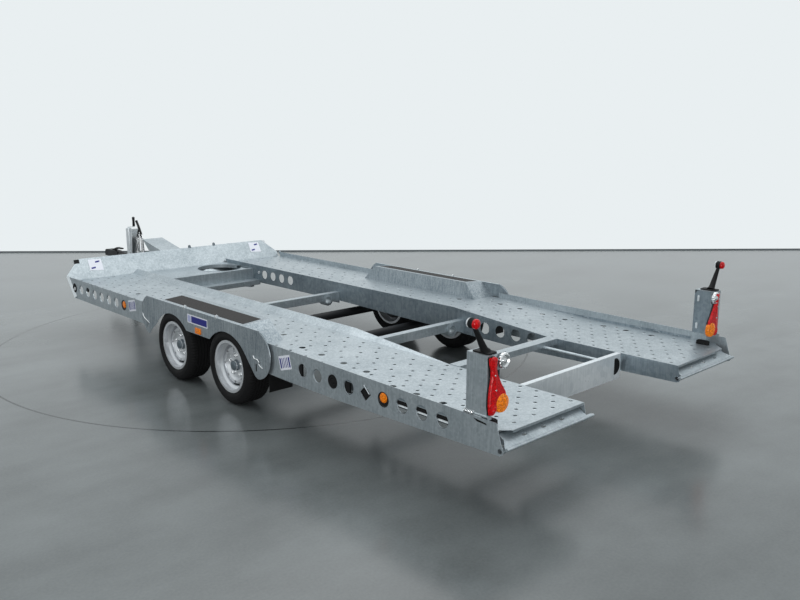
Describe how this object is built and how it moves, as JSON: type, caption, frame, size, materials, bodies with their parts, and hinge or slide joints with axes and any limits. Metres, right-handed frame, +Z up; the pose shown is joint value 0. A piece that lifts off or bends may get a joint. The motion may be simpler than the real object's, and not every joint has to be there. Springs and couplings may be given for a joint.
{
  "type": "car transporter trailer",
  "caption": "Low twin-axle car transporter trailer with two perforated tracks, raised mudguards, folding rear lamp posts and stowed loading ramps.",
  "frame": {"origin": "on the floor under the middle of the trailer's box", "axes": "+Y is the direction of travel, towards the coupling; +X is the trailer's right; +Z is up"},
  "size_m": [2.448, 6.875, 0.974],
  "materials": {
    "galvanised": "spangled hot-dip zinc",
    "dull_steel": "dull galvanised",
    "bright_plated": "bright zinc plate",
    "dark_casting": "black paint",
    "silver_wheel": "silver paint",
    "tyre_rubber": "matt",
    "black_rubber": "matt",
    "grey_rubber": "matt",
    "grit_tape": "gritty",
    "red_lens": "glossy ribbed",
    "amber_lens": "glossy ribbed",
    "clear_lens": "glossy ribbed"
  },
  "bodies": {
    "chassis": {"angle_crossmember": "galvanised", "axle_front": "dull_steel", "axle_rear": "dull_steel", "bay_beam_front": "galvanised", "bay_beam_middle": "galvanised", "coupling_head": "dark_casting", "damper_body": "dark_casting", "drawbar_arm_left": "galvanised", "drawbar_arm_right": "galvanised", "front_crossmember": "galvanised", "front_deck": "galvanised", "front_lamps": "clear_lens", "front_valance": "galvanised", "grip_strips": "grit_tape", "handbrake_lever": "bright_plated", "headboard": "galvanised", "inner_web_left": "galvanised", "inner_web_right": "galvanised", "jockey_tube": "bright_plated", "lamp_post_hinges": "galvanised", "leaf_springs_left": "dull_steel", "leaf_springs_right": "dull_steel", "mudflaps": "black_rubber", "mudguard_left": "galvanised", "mudguard_right": "galvanised", "ramp_supports": "galvanised", "rear_crossmember": "galvanised", "side_lamps": "amber_lens", "side_rail_left": "galvanised", "side_rail_right": "galvanised", "tie_tube": "galvanised", "track_deck_left": "galvanised", "track_deck_right": "galvanised", "winch_mount": "galvanised"},
    "wheel_front_left": {"rim_front_left": "silver_wheel", "tyre_front_left": "tyre_rubber"},
    "wheel_front_right": {"rim_front_right": "silver_wheel", "tyre_front_right": "tyre_rubber"},
    "wheel_rear_left": {"rim_rear_left": "silver_wheel", "tyre_rear_left": "tyre_rubber"},
    "wheel_rear_right": {"rim_rear_right": "silver_wheel", "tyre_rear_right": "tyre_rubber"},
    "ramp_left": {"loading_ramp_left": "galvanised"},
    "lamp_post_left": {"lamp_post_left": "galvanised", "rear_lamp_left": "red_lens"},
    "ramp_right": {"loading_ramp_right": "galvanised"},
    "lamp_post_right": {"lamp_post_right": "galvanised", "rear_lamp_right": "red_lens"},
    "jockey_leg": {"jockey_leg": "bright_plated"},
    "jockey_fork": {"jockey_fork": "bright_plated"},
    "jockey_wheel": {"jockey_wheel": "grey_rubber"}
  },
  "joints": [
    {"name": "wheel_front_left_spin", "type": "hinge", "parent": "chassis", "child": "wheel_front_left", "pos_m": [-1.063, -0.32, 0.26], "axis": [1, 0, 0], "continuous": true},
    {"name": "wheel_front_right_spin", "type": "hinge", "parent": "chassis", "child": "wheel_front_right", "pos_m": [1.063, -0.32, 0.26], "axis": [1, 0, 0], "continuous": true},
    {"name": "wheel_rear_left_spin", "type": "hinge", "parent": "chassis", "child": "wheel_rear_left", "pos_m": [-1.063, -1.065, 0.26], "axis": [1, 0, 0], "continuous": true},
    {"name": "wheel_rear_right_spin", "type": "hinge", "parent": "chassis", "child": "wheel_rear_right", "pos_m": [1.063, -1.065, 0.26], "axis": [1, 0, 0], "continuous": true},
    {"name": "ramp_left_slide", "type": "slide", "parent": "chassis", "child": "ramp_left", "axis": [0, -1, 0], "range_m": [0, 1.2]},
    {"name": "lamp_post_left_fold", "type": "hinge", "parent": "chassis", "child": "lamp_post_left", "pos_m": [-1.14, -3.2465, 0.50413], "axis": [0, -1, 0], "range_deg": [0, 90]},
    {"name": "ramp_right_slide", "type": "slide", "parent": "chassis", "child": "ramp_right", "axis": [0, -1, 0], "range_m": [0, 1.2]},
    {"name": "lamp_post_right_fold", "type": "hinge", "parent": "chassis", "child": "lamp_post_right", "pos_m": [1.14, -3.2465, 0.50413], "axis": [0, 1, 0], "range_deg": [0, 90]},
    {"name": "jockey_wind", "type": "slide", "parent": "chassis", "child": "jockey_leg", "axis": [0, 0, 1], "range_m": [0, 0.15]},
    {"name": "jockey_swivel", "type": "hinge", "parent": "jockey_leg", "child": "jockey_fork", "pos_m": [-0.128, 2.5695, 0.216], "axis": [0, 0, 1], "continuous": true},
    {"name": "jockey_wheel_spin", "type": "hinge", "parent": "jockey_fork", "child": "jockey_wheel", "pos_m": [-0.128, 2.5245, 0.1], "axis": [1, 0, 0], "continuous": true}
  ]
}
